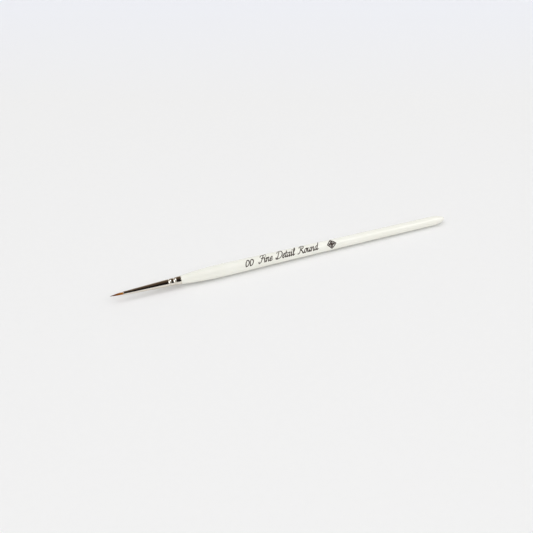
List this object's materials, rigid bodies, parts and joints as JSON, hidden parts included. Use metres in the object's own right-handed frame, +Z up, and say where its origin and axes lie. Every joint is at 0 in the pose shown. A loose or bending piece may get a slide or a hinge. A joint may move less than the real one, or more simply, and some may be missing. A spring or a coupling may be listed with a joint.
{
  "type": "fine detail brush",
  "caption": "Slim round brush for fine painting: a pointed hair tuft set in a tapered, crimped metal ferrule on a turned wooden handle with a glossy ivory-white lacquer.",
  "frame": {"origin": "on the table that the brush lies on, under the middle of its bounding box", "axes": "+X runs from the tip of the hair to the tail of the handle, in the plan of the brush's own axis; +Z is up from the table; +Y completes the frame. The brush's own axis drops towards its tail by 0.39 degrees, because it rests on its belly and near its tail."},
  "size_m": [0.18, 0.0066, 0.0065],
  "materials": {
    "hair": "satin natural hair",
    "thread": "waxed twisted thread",
    "epoxy": "clear amber adhesive",
    "nickel": "polished nickel plate",
    "wood_glue": "dried wood glue",
    "wood": "bare turned birch",
    "lacquer": "high gloss dipped lacquer"
  },
  "bodies": {
    "brush": {"hair_root": "hair", "binding_thread": "thread", "setting_glue": "epoxy", "ferrule": "nickel", "handle_glue": "wood_glue", "handle_core": "wood", "lacquer_coat": "lacquer"},
    "tuft": {"tuft": "hair"}
  },
  "joints": [
    {"name": "tuft_flex", "type": "hinge", "parent": "brush", "child": "tuft", "pos_m": [-0.08355, 0, 0.00361], "axis": [0, 0, 1], "range_deg": [-45, 45], "stiffness_Nm_per_rad": 0.0002}
  ]
}
